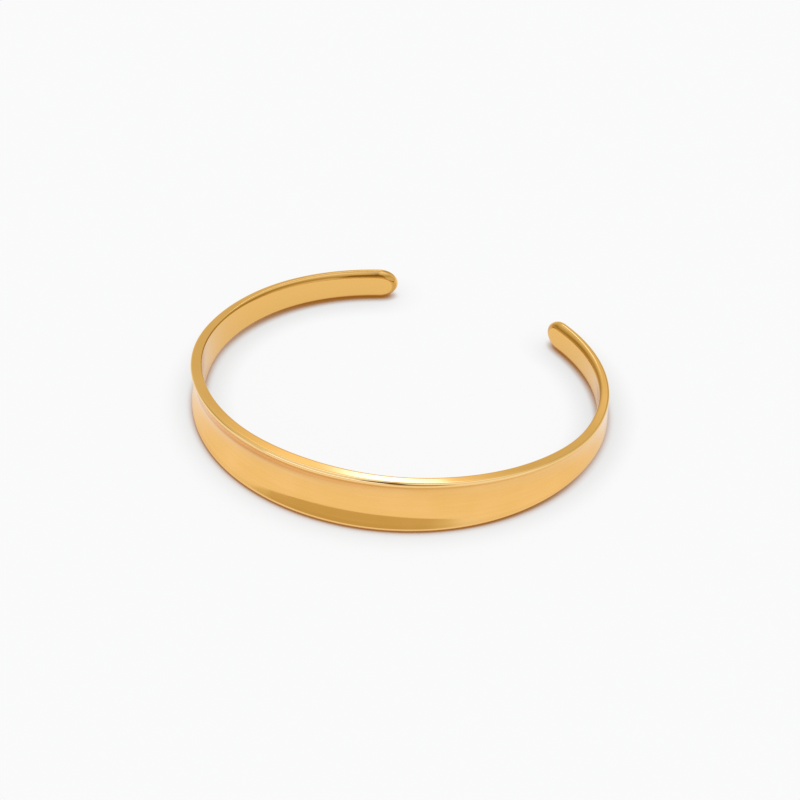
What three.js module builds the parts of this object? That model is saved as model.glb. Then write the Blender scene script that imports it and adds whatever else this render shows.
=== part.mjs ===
// An open oval cuff bangle, in millimetres, +Z up: one bent band of polished yellow metal.
// It lies on its side as it would on a table, with its broad hollowed front facing -Y and its gap facing +Y.
// The origin is on that table, under the middle of the bangle's bounding box.
import * as THREE from 'three';
import { mergeVertices } from 'three/addons/utils/BufferGeometryUtils.js';

// The plan: an oval through the outermost line of the band, seen square to the band's middle plane.
const OVAL_HALF_LENGTH = 31.0;
const OVAL_HALF_DEPTH = 28.38;
// How far the front and the two rear shoulders swell out of the oval, as a share of its size.
const SHOULDER_SWELL = 0.004;
// Angle from the middle of the front to the very tip of each end, in degrees.
const TIP_ANGLE = 154.4;
// Each tip is half an ellipse in side view, this many times as long as half the band's height.
const TIP_LENGTH = 1.31;

// The band's section at several angles from the middle of the front, the same on both arms.
// angle in degrees, the rest in mm: half of the band's height, its thickness, the radii of its inner and
// outer edges, and the depth of the channel that hollows its outer face.
const SECTIONS = [
  { angle: 0, halfHeight: 4.29, thickness: 1.93, innerRound: 0.15, outerRound: 0.42, channelDepth: 1.12 },
  { angle: 22.5, halfHeight: 4.2, thickness: 1.72, innerRound: 0.17, outerRound: 0.4, channelDepth: 1.05 },
  { angle: 45, halfHeight: 3.87, thickness: 1.66, innerRound: 0.2, outerRound: 0.36, channelDepth: 0.84 },
  { angle: 67.5, halfHeight: 3.2, thickness: 1.66, innerRound: 0.24, outerRound: 0.31, channelDepth: 0.54 },
  { angle: 90, halfHeight: 2.45, thickness: 1.54, innerRound: 0.29, outerRound: 0.27, channelDepth: 0.2 },
  { angle: 120, halfHeight: 2.31, thickness: 1.57, innerRound: 0.75, outerRound: 0.4, channelDepth: 0.03 },
  { angle: 154.4, halfHeight: 2.3, thickness: 1.97, innerRound: 1.1, outerRound: 0.85, channelDepth: 0.02 },
];
// How far from the middle plane the channel's sides begin to straighten, as a share of half the band's height.
const CHANNEL_REACH = 0.6;

// How finely the curved surfaces are faceted. The steps along the band are an odd number, so that one of them
// lies across the middle of the front and its rims are flat there.
const STEPS_ALONG_BAND = 71;
const STEPS_ROUND_TIP = 12;
const STEPS_INNER_EDGE = 4;
const STEPS_OUTER_EDGE = 5;
const STEPS_CHANNEL = 6;

// Vertices of neighbouring facets that lie closer than this are one vertex.
const WELD_DISTANCE = 1e-5;
// Rounds of rocking the bangle onto its lowest points: it has settled long before these run out.
const SETTLING_ROUNDS = 12;
// Rounds of matching the channel's slope to the turn of the rounded lip: they too are more than enough.
const LIP_ROUNDS = 30;

const GOLD_COLOUR = '#e3b162';
const GOLD_ROUGHNESS = 0.12;

// The point of the plan at an angle in radians from the middle of the front.
function planPoint(angle) {
  const swell = 1 + SHOULDER_SWELL * Math.cos(3 * angle);
  return new THREE.Vector2(
    OVAL_HALF_LENGTH * Math.sin(angle) * swell,
    -OVAL_HALF_DEPTH * Math.cos(angle) * swell,
  );
}

// That point with the outward normal there, and the length of curve per radian of angle.
function planFrame(angle) {
  const step = 1e-4;
  const along = planPoint(angle + step).sub(planPoint(angle - step)).divideScalar(2 * step);
  const speed = along.length();
  const outward = new THREE.Vector2(along.y, -along.x).divideScalar(speed);
  return { point: planPoint(angle), outward, speed };
}

// One size of the section at an angle, on a smooth curve through the table's rows.
function sectionSize(angle, name) {
  const degrees = Math.abs(THREE.MathUtils.radToDeg(angle));
  const last = SECTIONS.length - 1;
  const lower = Math.min(SECTIONS.findLastIndex((row) => row.angle <= degrees), last - 1);
  const [from, to] = [SECTIONS[lower], SECTIONS[lower + 1]];
  const slopeBetween = (a, b) => (b[name] - a[name]) / (b.angle - a.angle);
  // The two arms mirror each other, so the curve is level at the middle of the front.
  const slopeFrom = lower === 0 ? 0 : slopeBetween(SECTIONS[lower - 1], to);
  const slopeTo = slopeBetween(from, SECTIONS[Math.min(lower + 2, last)]);
  const span = to.angle - from.angle;
  const u = (degrees - from.angle) / span;
  return (
    (2 * u ** 3 - 3 * u ** 2 + 1) * from[name] +
    (u ** 3 - 2 * u ** 2 + u) * span * slopeFrom +
    (3 * u ** 2 - 2 * u ** 3) * to[name] +
    (u ** 3 - u ** 2) * span * slopeTo
  );
}

// The upper half of the section, from the middle of the inner face over the rim to the middle of the channel.
// out is measured outward from the outermost line of the band, rise from its middle plane.
function halfSection(angle) {
  const halfHeight = sectionSize(angle, 'halfHeight');
  const thickness = sectionSize(angle, 'thickness');
  const innerRound = sectionSize(angle, 'innerRound');
  const outerRound = sectionSize(angle, 'outerRound');
  const channelDepth = sectionSize(angle, 'channelDepth');
  const points = [{ out: -thickness, rise: 0 }];

  for (let i = 0; i <= STEPS_INNER_EDGE; i++) {
    const turn = (i / STEPS_INNER_EDGE) * (Math.PI / 2);
    points.push({
      out: -thickness + innerRound * (1 - Math.cos(turn)),
      rise: halfHeight - innerRound * (1 - Math.sin(turn)),
    });
  }

  // The channel is a hyperbola that runs on smoothly from the rounded lip: its sides straighten towards it.
  const lipHeight = halfHeight - outerRound;
  const reach = CHANNEL_REACH * halfHeight;
  let lipTurn = 0;
  let lipRise = lipHeight;
  let scale = 0;
  for (let round = 0; round < LIP_ROUNDS; round++) {
    lipRise = lipHeight - outerRound * Math.sin(lipTurn);
    const stretch = Math.hypot(1, lipRise / reach);
    scale = (channelDepth - outerRound * (1 - Math.cos(lipTurn))) / (stretch - 1);
    lipTurn = Math.atan((scale * lipRise) / (reach ** 2 * stretch));
  }
  for (let i = 0; i <= STEPS_OUTER_EDGE; i++) {
    const turn = Math.PI / 2 - (i / STEPS_OUTER_EDGE) * (Math.PI / 2 + lipTurn);
    points.push({
      out: -outerRound + outerRound * Math.cos(turn),
      rise: lipHeight + outerRound * Math.sin(turn),
    });
  }
  for (let i = 1; i <= STEPS_CHANNEL; i++) {
    const rise = lipRise * (1 - i / STEPS_CHANNEL);
    points.push({ out: -channelDepth + scale * (Math.hypot(1, rise / reach) - 1), rise });
  }
  return points;
}

// The half section is carried once round the band: along the top of it to one end, round that tip,
// back along the underside and round the other tip. Each stop says where it is, and how far the section's
// rise goes up (lift) and how far it goes along the band past the arm's last section (reach).
function sweepStops(tipCentreAngle) {
  const stops = [];
  for (const side of [1, -1]) {
    for (let i = 0; i < STEPS_ALONG_BAND; i++) {
      const along = (2 * i) / STEPS_ALONG_BAND - 1;
      stops.push({ angle: side * along * tipCentreAngle, lift: side, reach: 0 });
    }
    for (let i = 0; i < STEPS_ROUND_TIP; i++) {
      const turn = (i / STEPS_ROUND_TIP) * Math.PI;
      stops.push({ angle: side * tipCentreAngle, lift: side * Math.cos(turn), reach: side * Math.sin(turn) });
    }
  }
  return stops;
}

function bandGeometry() {
  const tipAngle = THREE.MathUtils.degToRad(TIP_ANGLE);
  const tipLength = TIP_LENGTH * sectionSize(tipAngle, 'halfHeight');
  const tipCentreAngle = tipAngle - tipLength / planFrame(tipAngle).speed;
  const stops = sweepStops(tipCentreAngle);
  const positions = [];
  for (const stop of stops) {
    const { speed } = planFrame(stop.angle);
    for (const { out, rise } of halfSection(stop.angle)) {
      const past = (TIP_LENGTH * rise * stop.reach) / speed;
      const { point, outward } = planFrame(stop.angle + past);
      positions.push(point.x + out * outward.x, point.y + out * outward.y, rise * stop.lift);
    }
  }

  const rows = positions.length / 3 / stops.length;
  const quads = [];
  for (let i = 0; i < stops.length; i++) {
    const here = i * rows;
    const next = ((i + 1) % stops.length) * rows;
    for (let k = 0; k < rows - 1; k++) {
      quads.push(here + k, here + k + 1, next + k + 1);
      quads.push(here + k, next + k + 1, next + k);
    }
  }
  const loose = new THREE.BufferGeometry();
  loose.setAttribute('position', new THREE.Float32BufferAttribute(positions, 3));
  loose.setIndex(quads);
  const welded = mergeVertices(loose, WELD_DISTANCE);

  // Where the half section turns about its own ends, at the tips, some facets have no area: they go.
  const corners = welded.getIndex().array;
  const facets = [];
  for (let i = 0; i < corners.length; i += 3) {
    const [a, b, c] = [corners[i], corners[i + 1], corners[i + 2]];
    if (a !== b && b !== c && c !== a) facets.push(a, b, c);
  }
  welded.setIndex(facets);
  welded.computeVertexNormals();
  return welded;
}

// The slope dz/dy of the table that the bangle would lie on, touching the front of it and both ends.
function tableSlope(geometry) {
  const position = geometry.getAttribute('position');
  let slope = 0;
  for (let round = 0; round < SETTLING_ROUNDS; round++) {
    const lowest = { front: null, back: null };
    for (let i = 0; i < position.count; i++) {
      const [y, z] = [position.getY(i), position.getZ(i)];
      const half = y < 0 ? 'front' : 'back';
      const height = z - slope * y;
      if (!lowest[half] || height < lowest[half].height) lowest[half] = { y, z, height };
    }
    const { front, back } = lowest;
    slope = (back.z - front.z) / (back.y - front.y);
  }
  return slope;
}

const geometry = bandGeometry();
const gold = new THREE.MeshStandardMaterial({ color: GOLD_COLOUR, roughness: GOLD_ROUGHNESS, metalness: 1 });
const cuff = new THREE.Mesh(geometry, gold);
cuff.name = 'cuff';

// Lay the bangle down on the points it rests on, then put the origin under the middle of its box.
cuff.rotation.x = -Math.atan(tableSlope(geometry));
const box = new THREE.Box3().setFromObject(cuff, true);
const middle = box.getCenter(new THREE.Vector3());
cuff.position.set(-middle.x, -middle.y, -box.min.z);

const bangle = new THREE.Group();
bangle.add(cuff);

export default bangle;
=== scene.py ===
import math

import bpy
import numpy as np
from mathutils import Matrix, Vector


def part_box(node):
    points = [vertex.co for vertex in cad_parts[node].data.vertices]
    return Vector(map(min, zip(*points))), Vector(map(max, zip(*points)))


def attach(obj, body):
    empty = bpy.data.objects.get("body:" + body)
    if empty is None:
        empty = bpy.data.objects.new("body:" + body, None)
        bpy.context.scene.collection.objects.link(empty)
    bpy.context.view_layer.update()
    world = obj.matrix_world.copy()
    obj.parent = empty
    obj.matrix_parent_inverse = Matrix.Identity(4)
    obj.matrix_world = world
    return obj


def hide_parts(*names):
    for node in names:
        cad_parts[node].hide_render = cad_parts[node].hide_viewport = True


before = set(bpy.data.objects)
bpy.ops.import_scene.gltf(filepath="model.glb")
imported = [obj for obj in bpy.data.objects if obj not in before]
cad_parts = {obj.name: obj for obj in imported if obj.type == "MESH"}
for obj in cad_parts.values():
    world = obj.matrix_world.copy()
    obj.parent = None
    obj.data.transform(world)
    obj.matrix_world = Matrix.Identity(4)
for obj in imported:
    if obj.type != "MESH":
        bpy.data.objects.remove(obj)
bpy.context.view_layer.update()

# --------------------------------------------------------------------------------------------------
# The cuff: one band of yellow metal in an open oval, polished all over and taken to be gold plated brass.
# Its broad front is hollowed by a shallow channel between two lips, the arms narrow to plain straps, and the
# two ends are rounded like a tongue. It has no hinge, clasp or stone: the whole bangle is this one piece.

MM = 0.001

# The plan is an oval, a little fuller at the front and at the two rear shoulders than a plain ellipse.
OVAL_HALF_LENGTH = 31.0
OVAL_HALF_DEPTH = 28.38
SHOULDER_SWELL = 0.004
TIP_ANGLE = math.radians(154.4)
# Seen from the side each tip is half an ellipse, this many times as long as half the band's height.
TIP_LENGTH = 1.31

# The band's section along each arm: angle from the middle of the front in degrees, the rest in mm. The
# heights and thicknesses, the plan's sizes above and the camera's place below were first worked out by a
# separate fitting program and rounded. Some were then changed by hand.
SECTION_NAMES = ("angle", "half_height", "thickness", "inner_round", "outer_round", "channel_depth")
SECTIONS = np.array([
    (0.0, 4.29, 1.93, 0.15, 0.42, 1.12),
    (22.5, 4.20, 1.72, 0.17, 0.40, 1.05),
    (45.0, 3.87, 1.66, 0.20, 0.36, 0.84),
    (67.5, 3.20, 1.66, 0.24, 0.31, 0.54),
    (90.0, 2.45, 1.54, 0.29, 0.27, 0.20),
    (120.0, 2.31, 1.57, 0.75, 0.40, 0.03),
    (154.4, 2.30, 1.97, 1.10, 0.85, 0.02),
])

# How far from the middle the channel's sides begin to straighten, as a share of half the band's height.
CHANNEL_REACH = 0.6

# Rows of the mesh along the band, round each tip, and across each part of the half section.
ROWS_ALONG = 601
ROWS_ROUND_TIP = 48
ROWS_INNER_FACE = 5
ROWS_INNER_EDGE = 12
ROWS_RIM = 4
ROWS_OUTER_EDGE = 18
ROWS_CHANNEL = 24
# Rows across the inner face crowd towards its edge by this power.
ROW_CROWDING = 0.4
# Points closer than this are one point.
WELD = 0.0005 * MM
# The band is drawn a hair inside the solid, whose facets cut a little off the curve: so many mm in from the
# outside, and this share of its height.
INSET = 0.02
FLATTER = 0.998
# Rounds of matching the channel's slope to the lip's turn, and of rocking the band onto its lowest points.
# Both settle long before these run out.
LIP_ROUNDS = 30
LIP_TURN_START = 0.5
SETTLING_ROUNDS = 12
# Steps along the whole plan when its length is added up.
LENGTH_STEPS = 4000


def plan_point(angle):
    swell = 1 + SHOULDER_SWELL * np.cos(3 * angle)
    across = OVAL_HALF_LENGTH * np.sin(angle) * swell
    ahead = -OVAL_HALF_DEPTH * np.cos(angle) * swell
    return np.stack([across, ahead], -1)


def plan_frame(angle):
    """The plan's point, outward normal and length of curve per radian at each angle."""
    step = 1e-4
    along = (plan_point(angle + step) - plan_point(angle - step)) / (2 * step)
    speed = np.linalg.norm(along, axis=-1)
    outward = np.stack([along[..., 1], -along[..., 0]], -1) / speed[..., None]
    return plan_point(angle), outward, speed


def section_sizes(angle):
    """Every size of the section at each angle, on a smooth curve through the table's rows."""
    degrees = np.abs(np.degrees(angle))
    known = SECTIONS[:, 0]
    slopes = np.zeros((len(SECTIONS), SECTIONS.shape[1] - 1))
    slopes[1:-1] = (SECTIONS[2:, 1:] - SECTIONS[:-2, 1:]) / (known[2:] - known[:-2])[:, None]
    slopes[-1] = (SECTIONS[-1, 1:] - SECTIONS[-2, 1:]) / (known[-1] - known[-2])
    lower = np.clip(np.searchsorted(known, degrees, side="right") - 1, 0, len(SECTIONS) - 2)
    span = (known[lower + 1] - known[lower])[:, None]
    u = (degrees - known[lower])[:, None] / span
    sizes = (
        (2 * u**3 - 3 * u**2 + 1) * SECTIONS[lower, 1:]
        + (u**3 - 2 * u**2 + u) * span * slopes[lower]
        + (3 * u**2 - 2 * u**3) * SECTIONS[lower + 1, 1:]
        + (u**3 - u**2) * span * slopes[lower + 1]
    )
    return dict(zip(SECTION_NAMES[1:], sizes.T))


def half_section(angle):
    """The upper half of the section at each angle: how far out and how far up each of its points is."""
    size = section_sizes(angle)
    half_height = size["half_height"][:, None]
    thickness = size["thickness"][:, None]
    inner_round = size["inner_round"][:, None]
    outer_round = size["outer_round"][:, None]
    depth = size["channel_depth"][:, None]
    lip_height = half_height - outer_round
    # The channel is a hyperbola that runs on from the rounded lip: its sides straighten towards it.
    reach = CHANNEL_REACH * half_height
    lip_turn = np.full_like(depth, LIP_TURN_START)
    for _ in range(LIP_ROUNDS):
        lip_rise = lip_height - outer_round * np.sin(lip_turn)
        stretch = np.hypot(1, lip_rise / reach)
        scale = (depth - outer_round * (1 - np.cos(lip_turn))) / (stretch - 1)
        lip_turn = np.arctan(scale * lip_rise / (reach**2 * stretch))

    face = np.linspace(0, 1, ROWS_INNER_FACE)[None, :-1] ** ROW_CROWDING
    edge = np.linspace(0, math.pi / 2, ROWS_INNER_EDGE + 1)[None, :]
    rim = np.linspace(0, 1, ROWS_RIM + 1)[None, 1:-1]
    rim = 0.5 - 0.5 * np.cos(np.pi * rim)
    lip = math.pi / 2 - np.linspace(0, 1, ROWS_OUTER_EDGE + 1)[None, :] * (math.pi / 2 + lip_turn)
    hollow = lip_rise * (1 - np.linspace(0, 1, ROWS_CHANNEL + 1)[None, 1:])
    rim_from = -thickness + inner_round
    out = [
        -thickness + 0 * face,
        -thickness + inner_round * (1 - np.cos(edge)),
        rim_from + rim * (-outer_round - rim_from),
        -outer_round + outer_round * np.cos(lip),
        -depth + scale * (np.hypot(1, hollow / reach) - 1),
    ]
    rise = [
        (half_height - inner_round) * face,
        half_height - inner_round * (1 - np.sin(edge)),
        half_height + 0 * rim,
        lip_height + outer_round * np.sin(lip),
        hollow,
    ]
    return np.concatenate(out, 1), np.concatenate(rise, 1)


# The half section is carried once round the band: along the top to one end, round that tip, back along
# the underside and round the other tip. Lift is how far its rise goes up, reach how far it goes past the
# arm.
tip_speed = plan_frame(np.array([TIP_ANGLE]))[2][0]
tip_centre = TIP_ANGLE - TIP_LENGTH * SECTIONS[-1, 1] / tip_speed
stop_angle, lift, reach = [], [], []
for side in (1, -1):
    along = 2 * np.arange(ROWS_ALONG) / ROWS_ALONG - 1
    turn = np.arange(ROWS_ROUND_TIP) / ROWS_ROUND_TIP * math.pi
    stop_angle += [side * along * tip_centre, np.full(ROWS_ROUND_TIP, side * tip_centre)]
    lift += [np.full(ROWS_ALONG, float(side)), side * np.cos(turn)]
    reach += [np.zeros(ROWS_ALONG), side * np.sin(turn)]
stop_angle, lift, reach = (np.concatenate(part) for part in (stop_angle, lift, reach))

out, rise = half_section(stop_angle)
speed = plan_frame(stop_angle)[2][:, None]
point_angle = stop_angle[:, None] + TIP_LENGTH * rise * reach[:, None] / speed
point, outward, _ = plan_frame(point_angle)
height = rise * lift[:, None]
band = np.concatenate([point + (out[..., None] - INSET) * outward, height[..., None] * FLATTER], -1)

# The bangle's own directions, for its polishing marks: mm along the band, out through it and up it.
curve = np.linspace(-math.pi, math.pi, LENGTH_STEPS + 1)
curve_speed = plan_frame(curve)[2]
curve_steps = (curve_speed[1:] + curve_speed[:-1]) / 2 * np.diff(curve)
curve_length = np.concatenate([[0], np.cumsum(curve_steps)])
along_band = np.interp(point_angle, curve, curve_length)
band_ways = np.stack([along_band, out, height], -1).reshape(-1, 3)

# It lies on its side, rocked onto its lowest points at the front and at the ends.
points = band.reshape(-1, 3)
slope = 0.0
for _ in range(SETTLING_ROUNDS):
    drop = points[:, 2] - slope * points[:, 1]
    in_front = points[:, 1] < 0
    front = points[np.argmin(np.where(in_front, drop, np.inf))]
    back = points[np.argmin(np.where(in_front, np.inf, drop))]
    slope = (back[2] - front[2]) / (back[1] - front[1])
lean = -math.atan(slope)
laid = points @ np.array(Matrix.Rotation(lean, 3, "X")).T

solid_low, solid_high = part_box("cuff")
place = (np.array(solid_low) + np.array(solid_high)) / 2
place[2] = solid_low[2]
low, high = laid.min(0), laid.max(0)
foot = (low + high) / 2
foot[2] = low[2]
laid = (laid - foot) * MM + place

rows = out.shape[1]
stops = np.arange(len(stop_angle))[:, None]
following_stops = (stops + 1) % len(stop_angle)
here = stops * rows + np.arange(rows - 1)[None, :]
following = following_stops * rows + np.arange(rows - 1)[None, :]
quads = np.stack([here, here + 1, following + 1, following], -1).reshape(-1, 4)

# The two halves meet along the middle of the inner face and of the channel: points that coincide there
# become one.
cells = np.round(laid / WELD).astype(np.int64)
_, first, same = np.unique(cells, axis=0, return_index=True, return_inverse=True)
same = same.reshape(-1)
faces = []
for quad in same[quads].tolist():
    corners = [corner for i, corner in enumerate(quad) if corner != quad[i - 1]]
    if len(set(corners)) >= 3:
        faces.append(corners)
cuff_mesh = bpy.data.meshes.new("cuff_band")
cuff_mesh.from_pydata(laid[first].tolist(), [], faces)
cuff_mesh.shade_smooth()
ways = cuff_mesh.attributes.new("band_ways", "FLOAT_VECTOR", "POINT")
ways.data.foreach_set("vector", band_ways[first].astype(np.float32).ravel())
# How far each place has each finish or painted mark, from 0 to 1, row by row across the half section. The
# lips are painted brighter, a painted highlight, and the inside is less bright. Dark lines are painted into
# the plate: a thin one with some haze under each lip where the channel is deep, and one in the rounding of
# the arms' inner edges. They are painted reflections of things nearer than this room, which it can't give.
# They stand in for lines that may be marks of polishing, or reflections of things nearer than this room,
# which it can't give. Being part of the plate, they stay put in every view.
edge_from = ROWS_INNER_FACE - 1
lip_from = edge_from + ROWS_INNER_EDGE + ROWS_RIM
lip_to = lip_from + ROWS_OUTER_EDGE
# The lips' painted highlight, strongest midway round their rounding.
lip_painted_highlight = np.zeros(rows)
lip_painted_highlight[lip_from : lip_to + 1] = np.sin(np.linspace(0, math.pi, ROWS_OUTER_EDGE + 1))
inside = np.zeros(rows)
inside[: edge_from + 1] = 1
inside[edge_from : edge_from + ROWS_INNER_EDGE + 1] = np.linspace(1, 0, ROWS_INNER_EDGE + 1)
past_face = np.arange(rows) - edge_from
# The painted reflection in the rounding of the arms' inner edges.
edge_painted_reflection = np.interp(past_face, (2, 4, 7, 9), (0, 1, 1, 0))
under_lip = np.arange(rows) - lip_to
# The painted reflection under each lip, and its haze.
lip_painted_reflection = np.interp(under_lip, (-2, 0, 1, 2, 4), (0, 0.6, 1, 0.8, 0))
corner_haze = np.interp(under_lip, (-1, 0, 4, 9), (0, 1, 1, 0))
channel_share = section_sizes(stop_angle)["channel_depth"] / SECTIONS[0, -1]
degrees_round = np.abs(np.degrees(stop_angle))
edge_reflection_share = np.interp(degrees_round, (45, 62, 115, 145), (0, 1, 1, 0.6))
# The painted reflection under the lips and its haze are drawn mostly along one lip, the upper one as the
# bangle lies.
lip_reflection_share = channel_share * np.where(lift > 0, 1.0, 0.3)
haze_share = channel_share * np.where(lift > 0, 1.0, 0.15)
everywhere = np.ones(len(stop_angle))
for name, share, across in (
    ("lip_painted_highlight", everywhere, lip_painted_highlight),
    ("inside", everywhere, inside),
    ("lip_painted_reflection", lip_reflection_share, lip_painted_reflection),
    ("corner_haze", haze_share, corner_haze),
    ("edge_painted_reflection", edge_reflection_share, edge_painted_reflection),
):
    finish = cuff_mesh.attributes.new(name, "FLOAT", "POINT")
    finish.data.foreach_set("value", np.outer(share, across).ravel()[first].astype(np.float32))
cuff = bpy.data.objects.new("cuff_band", cuff_mesh)
bpy.context.collection.objects.link(cuff)


def linear(colour):
    """An sRGB hex colour as linear RGBA."""
    parts = [int(colour[i : i + 2], 16) / 255 for i in (1, 3, 5)]
    return (*[part / 12.92 if part <= 0.04045 else ((part + 0.055) / 1.055) ** 2.4 for part in parts], 1)


def node(tree, kind, links=None, **settings):
    """Add a node. Settings named for an input, or in_0, in_1..., set its value; links join sockets to it."""
    made = tree.nodes.new(kind)
    for name, value in settings.items():
        if name.startswith("in_"):
            made.inputs[int(name[3:])].default_value = value
        elif hasattr(made, name):
            setattr(made, name, value)
        else:
            made.inputs[name].default_value = value
    for name, socket in (links or {}).items():
        tree.links.new(socket, made.inputs[name])
    return made


# Polished yellow gold plate over brass. To the eye it is a clear warm mirror. Its marks are guesses at what
# such a plate has: the faintest drag lines where the polishing mop ran along the band, the slight unevenness
# of hand finishing, and a few hairlines from handling.

# The plate's colours: the pale and the deep of its clouds, the painted highlight along the lips, the colour
# of the inside, the painted reflection under each lip, and the painted reflection along the arms' inner
# edges.
PLATE_PALE = "#fac67a"
PLATE_DEEP = "#f2bd69"
PAINTED_LIP_HIGHLIGHT = "#fdd593"
PLATE_INSIDE = "#edbb6b"
PAINTED_LIP_REFLECTION = "#dfa957"
PAINTED_EDGE_REFLECTION = "#be8935"
# The plate's clouds are some 8 mm across, and drawn out along the mop lines by this share. It is deep below
# the first of these values of the pattern and pale above the second.
PLATE_CLOUD = 8
PLATE_DRAWN = 0.7
PLATE_DEEP_TO = 0.55
PLATE_PALE_FROM = 1.15
# Mop lines are some 0.05 mm apart in life, too fine to show, so they are drawn 0.3 mm apart, 14 mm long and
# a tenth of a micron deep. Every height here is the whole range of its pattern in mm, and the noise uses
# about a third of it.
MOP_LINE_SIZE = (14, 0.3, 0.3)
MOP_LINE_HEIGHT = 0.0003
# Hand finishing wanders by about two thousandths of a millimetre over 5 to 9 mm.
HAND_WAVE_SIZE = (9, 5, 5)
HAND_WAVE_HEIGHT = 0.006
# Hairlines from handling are 3 to 11 mm apart and a little askew of the band. Each is this share of the way
# across its cell.
HAIRLINE_CELL = (11, 3, 2.6)
HAIRLINE_ASKEW = math.radians(24)
HAIRLINE_WIDTH = 0.012
HAIRLINE_HEIGHT = 0.0002
# Handling dulls the plate in soft patches about 6 mm across, scattered over all of it. They fade in between
# these values of the pattern.
TOUCHED_PATCH = 6
TOUCHED_FROM = 0.48
TOUCHED_TO = 0.7
# Roughness of the clean mirror, and what each mark and each place adds to it.
MIRROR_ROUGHNESS = 0.03
MOP_LINE_ROUGHNESS = 0.05
TOUCHED_ROUGHNESS = 0.018
HAIRLINE_ROUGHNESS = 0.02
INSIDE_ROUGHNESS = 0.09
CORNER_ROUGHNESS = 0.2

polished_gold = bpy.data.materials.new("polished_yellow_gold")
polished_gold.use_nodes = True
tree = polished_gold.node_tree
tree.nodes.clear()
ways = node(tree, "ShaderNodeAttribute", attribute_name="band_ways").outputs["Vector"]
amount = {
    name: node(tree, "ShaderNodeAttribute", attribute_name=name).outputs["Fac"]
    for name in ("lip_painted_highlight", "inside", "lip_painted_reflection", "corner_haze", "edge_painted_reflection")
}

mop_ways = node(tree, "ShaderNodeVectorMath", {0: ways}, operation="DIVIDE", in_1=MOP_LINE_SIZE)
mop_lines = node(
    tree, "ShaderNodeTexNoise", {"Vector": mop_ways.outputs[0]}, Scale=1.0, Detail=3.0, Roughness=0.6
)
hand_ways = node(tree, "ShaderNodeVectorMath", {0: ways}, operation="DIVIDE", in_1=HAND_WAVE_SIZE)
hand_waves = node(tree, "ShaderNodeTexNoise", {"Vector": hand_ways.outputs[0]}, Scale=1.0, Detail=1.0)
# The hairlines are the thin borders between long cells.
hair_turn = node(
    tree, "ShaderNodeVectorRotate", {"Vector": ways}, rotation_type="Y_AXIS", Angle=HAIRLINE_ASKEW
)
hair_ways = node(
    tree, "ShaderNodeVectorMath", {0: hair_turn.outputs[0]}, operation="DIVIDE", in_1=HAIRLINE_CELL
)
hair_cells = node(
    tree, "ShaderNodeTexVoronoi", {"Vector": hair_ways.outputs[0]}, feature="DISTANCE_TO_EDGE", Scale=1.0
)
hairlines = node(
    tree, "ShaderNodeMapRange", {"Value": hair_cells.outputs["Distance"]},
    **{"From Min": 0.0, "From Max": HAIRLINE_WIDTH, "To Min": 1.0, "To Max": 0.0},
)
touch = node(
    tree, "ShaderNodeTexNoise", {"Vector": ways}, Scale=1 / TOUCHED_PATCH, Detail=2.0, Roughness=0.45
)
touched = node(
    tree, "ShaderNodeMapRange", {"Value": touch.outputs["Fac"]}, interpolation_type="SMOOTHSTEP",
    **{"From Min": TOUCHED_FROM, "From Max": TOUCHED_TO, "To Min": 0.0, "To Max": 1.0},
)

# The plate's own colour in its clouds, and over that the colours of each place: a painted highlight along
# the lips, the inside's deeper colour, and painted reflections under the lips and along the arms' inner
# edges.
plate = node(tree, "ShaderNodeTexNoise", {"Vector": ways}, Scale=1 / PLATE_CLOUD, Detail=2.0)
plate_drawn = node(
    tree, "ShaderNodeMath", {0: mop_lines.outputs["Fac"], 2: plate.outputs["Fac"]},
    operation="MULTIPLY_ADD", in_1=PLATE_DRAWN,
)
plate_mix = node(
    tree, "ShaderNodeMapRange", {"Value": plate_drawn.outputs[0]},
    **{"From Min": PLATE_DEEP_TO, "From Max": PLATE_PALE_FROM, "To Min": 0.0, "To Max": 1.0},
)
gold_colour = node(
    tree, "ShaderNodeMix", {0: plate_mix.outputs[0]}, data_type="RGBA",
    in_6=linear(PLATE_DEEP), in_7=linear(PLATE_PALE),
)
for name, colour in (
    ("inside", PLATE_INSIDE),
    ("lip_painted_highlight", PAINTED_LIP_HIGHLIGHT),
    ("lip_painted_reflection", PAINTED_LIP_REFLECTION),
    ("edge_painted_reflection", PAINTED_EDGE_REFLECTION),
):
    gold_colour = node(
        tree, "ShaderNodeMix", {0: amount[name], 6: gold_colour.outputs[2]}, data_type="RGBA",
        in_7=linear(colour),
    )

haze = node(
    tree, "ShaderNodeMath", {0: mop_lines.outputs["Fac"]},
    operation="MULTIPLY_ADD", in_1=MOP_LINE_ROUGHNESS, in_2=MIRROR_ROUGHNESS,
)
for mark, added in (
    (touched.outputs[0], TOUCHED_ROUGHNESS),
    (hairlines.outputs[0], HAIRLINE_ROUGHNESS),
    (amount["inside"], INSIDE_ROUGHNESS),
    (amount["corner_haze"], CORNER_ROUGHNESS),
):
    haze = node(
        tree, "ShaderNodeMath", {0: mark, 2: haze.outputs[0]}, operation="MULTIPLY_ADD", in_1=added
    )

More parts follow.
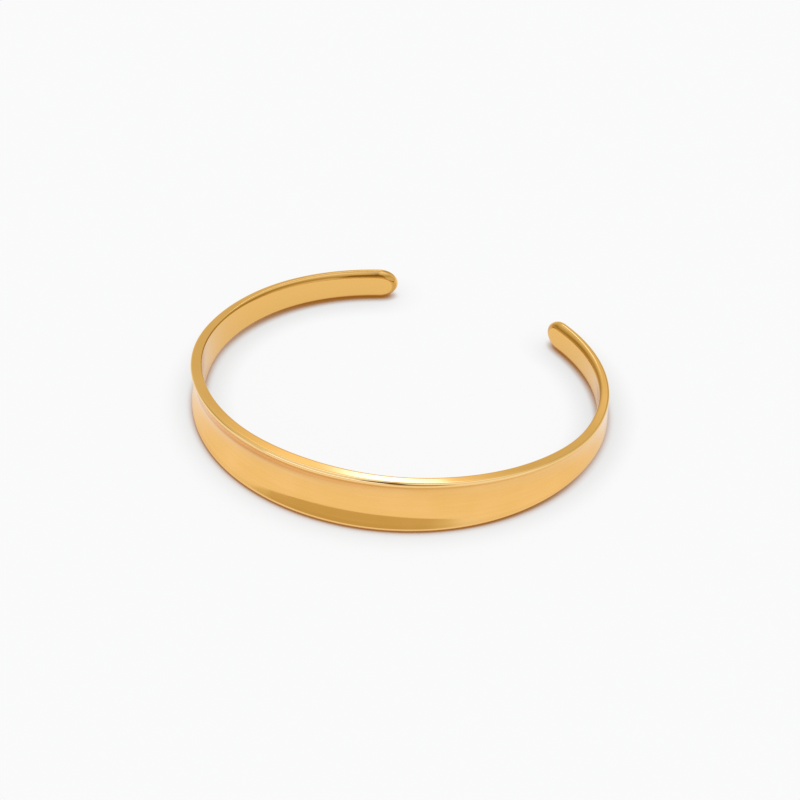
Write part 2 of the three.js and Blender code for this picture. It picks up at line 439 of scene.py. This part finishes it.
waves = node(
    tree, "ShaderNodeBump", {"Height": hand_waves.outputs["Fac"]},
    Strength=1.0, Distance=HAND_WAVE_HEIGHT * MM,
)
lines = node(
    tree, "ShaderNodeBump", {"Height": mop_lines.outputs["Fac"], "Normal": waves.outputs[0]},
    Strength=1.0, Distance=MOP_LINE_HEIGHT * MM,
)
relief = node(
    tree, "ShaderNodeBump", {"Height": hairlines.outputs[0], "Normal": lines.outputs[0]},
    invert=True, Strength=1.0, Distance=HAIRLINE_HEIGHT * MM,
)
shine = node(
    tree, "ShaderNodeBsdfPrincipled",
    {"Base Color": gold_colour.outputs[2], "Roughness": haze.outputs[0], "Normal": relief.outputs[0]},
    Metallic=1.0,
)
node(tree, "ShaderNodeOutputMaterial", {"Surface": shine.outputs[0]})
cuff_mesh.materials.append(polished_gold)

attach(cuff, "root")
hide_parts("cuff")

# --------------------------------------------------------------------------------------------------
# The camera. It stands upright above the table, to the right of the broad front, and looks down on it with a
# long lens, as for a catalogue. It aims just behind the middle of the bangle.

CAMERA_TURN = math.radians(27.56)
CAMERA_RISE = math.radians(37.36)
CAMERA_DISTANCE = 0.330
SENSOR_WIDTH = 36
FOCAL_LENGTH = 100.8
CLIP_START = 0.01
AIM_RIGHT = 0.00104
AIM_AWAY = 0.00241

away = Vector((-math.sin(CAMERA_TURN), math.cos(CAMERA_TURN), 0))
right = Vector((math.cos(CAMERA_TURN), math.sin(CAMERA_TURN), 0))
up = Vector((0, 0, 1))
target = AIM_RIGHT * right + AIM_AWAY * away
lens = bpy.data.cameras.new("camera")
lens.sensor_width = SENSOR_WIDTH
lens.lens = FOCAL_LENGTH
lens.clip_start = CLIP_START
camera = bpy.data.objects.new("camera", lens)
camera.location = target + CAMERA_DISTANCE * (math.sin(CAMERA_RISE) * up - math.cos(CAMERA_RISE) * away)
camera.rotation_euler = (target - camera.location).to_track_quat("-Z", "Y").to_euler()
bpy.context.collection.objects.link(camera)
bpy.context.scene.camera = camera

# --------------------------------------------------------------------------------------------------
# The table top: white acrylic, lit from within like a light table as well as from the room. The only shade
# on it is the tight soft one where the bangle comes down to it.

# Half of its width, in metres: it runs on past the view.
TABLE_HALF = 3.0
# It lies this many mm under the bangle, so that the two never share a face.
TABLE_GAP = 0.02
TABLE_GLOW = 0.895
TABLE_WHITE = 0.08
# Shade on the table beside the bangle: how far it reaches in mm, and the light left where it is deepest, to
# the eye and in the gold's own reflections. Real light gives both the same: here the second is weaker.
HALO_REACH = 5.0
HALO_LIGHT = 0.58
MIRRORED_LIGHT = 0.85
# Right at the foot the shade has a brown, in place of the warm light that gold throws back: how
# far it reaches in mm, and how open to the room a place is where it is full and where it is gone.
FOOT_REACH = 1.3
FOOT_FULL = 0.35
FOOT_GONE = 0.9
FOOT_COLOUR = "#b5730a"
SHADE_SAMPLES = 8
table_mesh = bpy.data.meshes.new("table_top")
corners = [(x * TABLE_HALF, y * TABLE_HALF, 0) for x, y in ((-1, -1), (1, -1), (1, 1), (-1, 1))]
table_mesh.from_pydata(corners, [], [(0, 1, 2, 3)])
table_top = bpy.data.objects.new("table_top", table_mesh)
table_top.location.z = -TABLE_GAP * MM
bpy.context.collection.objects.link(table_top)
acrylic = bpy.data.materials.new("white_acrylic")
acrylic.use_nodes = True
tree = acrylic.node_tree
tree.nodes.clear()
beside = node(tree, "ShaderNodeAmbientOcclusion", samples=SHADE_SAMPLES, Distance=HALO_REACH * MM)
mirrored = node(tree, "ShaderNodeLightPath").outputs["Is Glossy Ray"]
deepest = node(
    tree, "ShaderNodeMath", {0: mirrored}, operation="MULTIPLY_ADD",
    in_1=(MIRRORED_LIGHT - HALO_LIGHT) * TABLE_GLOW, in_2=HALO_LIGHT * TABLE_GLOW,
)
halo = node(
    tree, "ShaderNodeMapRange", {"Value": beside.outputs["AO"], "To Min": deepest.outputs[0]},
    **{"From Min": 0.0, "From Max": 1.0, "To Max": TABLE_GLOW},
)
under = node(tree, "ShaderNodeAmbientOcclusion", samples=SHADE_SAMPLES, Distance=FOOT_REACH * MM)
clear = node(
    tree, "ShaderNodeMapRange", {"Value": under.outputs["AO"]},
    **{"From Min": FOOT_FULL, "From Max": FOOT_GONE, "To Min": 0.0, "To Max": 1.0},
)
shade_colour = node(
    tree, "ShaderNodeMix", {0: clear.outputs[0]}, data_type="RGBA",
    in_6=linear(FOOT_COLOUR), in_7=(1, 1, 1, 1),
)
glow = node(tree, "ShaderNodeEmission", {"Color": shade_colour.outputs[2], "Strength": halo.outputs[0]})
matt = node(tree, "ShaderNodeBsdfDiffuse", Color=(TABLE_WHITE, TABLE_WHITE, TABLE_WHITE, 1))
both = node(tree, "ShaderNodeAddShader", {0: matt.outputs[0], 1: glow.outputs[0]})
node(tree, "ShaderNodeOutputMaterial", {"Surface": both.outputs[0]})
table_mesh.materials.append(acrylic)

# --------------------------------------------------------------------------------------------------
# The room: a studio's lamps, windows, cards and dark corners, which the polished gold mirrors. It is drawn
# as soft-edged areas of light and shade a long way off, each laid over those before it. It is a guess: most
# of its numbers come, rounded, from a separate fitting program that worked back from the gold's reflections,
# and some were then changed by hand.

# Azimuths run from straight ahead of the camera, + to its right, 180 behind it; all angles are in degrees.
# name, azimuths, elevations, softness round the compass and up, radiance.
ROOM_TONE = (0.72, 0.70, 0.56)
ROOM = [
    ("ceiling", (-180, 180), (66, 120), (14, 14), (0.62, 0.64, 0.89)),
    ("right_overhead", (13, 166), (55, 90), (14, 30), (1.02, 1.10, 1.33)),
    ("left_overhead", (-150, -59), (48, 78), (12, 12), (0.90, 0.97, 1.06)),
    ("right_window", (105, 160), (-20, 33), (14, 14), (0.93, 0.97, 1.08)),
    ("left_window", (-103, -85), (-20, 20), (8, 8), (0.88, 0.89, 0.92)),
    ("reflector_above_camera", (-180, -105), (17, 32), (6, 6), (1.60, 1.80, 2.70)),
    ("wall_ahead", (-60, -18), (17, 40), (10, 10), (0.67, 0.64, 0.50)),
    ("streak_ahead", (-24, 0), (48, 69), (6, 6), (1.45, 1.93, 2.80)),
    ("glow_ahead", (-14, 16), (31.5, 41), (12, 4), (0.85, 0.82, 0.67)),
    ("softbox_ahead", (-6, 9), (34, 37), (4, 3), (1.18, 1.16, 1.10)),
    ("softbox_core", (0.5, 6.5), (34.7, 37.3), (3, 1), (2.00, 2.90, 5.60)),
    ("left_shade", (-85, -52), (12, 33), (8, 8), (0.50, 0.44, 0.25)),
    ("right_shade", (15, 43), (-1, 46), (7, 8), (0.52, 0.47, 0.31)),
    ("right_dark", (157, 190), (16, 38), (10, 8), (0.40, 0.30, 0.09)),
    ("photographer", (177, 208), (41, 87), (5, 8), (0.06, 0.03, 0.01)),
    ("photographers_arm", (159, 180), (38, 49), (4, 4), (0.12, 0.07, 0.03)),
    ("card_by_camera", (-182, -111), (-20, 17), (4, 4), (0.64, 0.57, 0.39)),
    ("card_by_camera_right", (169, 184), (-20, 14), (8, 8), (0.65, 0.59, 0.42)),
]
BACKDROP_WHITE = 0.947

world = bpy.data.worlds.new("studio")
world.use_nodes = True
tree = world.node_tree
tree.nodes.clear()
way = node(tree, "ShaderNodeTexCoord").outputs["Generated"]
to_right = node(tree, "ShaderNodeVectorMath", {0: way}, operation="DOT_PRODUCT", in_1=tuple(right))
ahead = node(tree, "ShaderNodeVectorMath", {0: way}, operation="DOT_PRODUCT", in_1=tuple(away))
heading = node(
    tree, "ShaderNodeMath", {0: to_right.outputs["Value"], 1: ahead.outputs["Value"]}, operation="ARCTAN2"
)
skyward = node(tree, "ShaderNodeSeparateXYZ", {"Vector": way})
pitch = node(tree, "ShaderNodeMath", {0: skyward.outputs["Z"]}, operation="ARCSINE")

light = node(tree, "ShaderNodeRGB").outputs[0]
light.default_value = (*ROOM_TONE, 1)
for name, azimuths, elevations, softness, radiance in ROOM:
    # 1 between the two angles and 0 outside them, changing smoothly across each, round the compass and up.
    fades = []
    for angle, (lower, upper), soft in zip((heading, pitch), (azimuths, elevations), softness):
        off = node(
            tree, "ShaderNodeMath", {0: angle.outputs[0]},
            operation="SUBTRACT", in_1=math.radians((lower + upper) / 2),
        )
        off = node(
            tree, "ShaderNodeMath", {0: off.outputs[0]}, operation="WRAP", in_1=-math.pi, in_2=math.pi
        )
        off = node(tree, "ShaderNodeMath", {0: off.outputs[0]}, operation="ABSOLUTE")
        inner = math.radians((upper - lower - soft) / 2)
        outer = math.radians((upper - lower + soft) / 2)
        fade = node(
            tree, "ShaderNodeMapRange", {"Value": off.outputs[0]}, interpolation_type="SMOOTHSTEP",
            **{"From Min": inner, "From Max": outer, "To Min": 1.0, "To Max": 0.0},
        )
        fades.append(fade.outputs[0])
    cover = node(tree, "ShaderNodeMath", dict(enumerate(fades)), operation="MULTIPLY", label=name)
    laid_over = node(
        tree, "ShaderNodeMix", {0: cover.outputs[0], 6: light}, data_type="RGBA",
        in_7=(*radiance, 1), label=name,
    )
    light = laid_over.outputs[2]
# The camera itself sees a plain backdrop as white as the table: only the gold and the table see the room.
seen = node(tree, "ShaderNodeLightPath")
shown = node(
    tree, "ShaderNodeMix", {0: seen.outputs["Is Camera Ray"], 6: light}, data_type="RGBA",
    in_7=(BACKDROP_WHITE, BACKDROP_WHITE, BACKDROP_WHITE, 1),
)
air = node(tree, "ShaderNodeBackground", {"Color": shown.outputs[2]}, Strength=1.0)
node(tree, "ShaderNodeOutputWorld", {"Surface": air.outputs[0]})
bpy.context.scene.world = world
bpy.context.scene.view_settings.view_transform = "Standard"
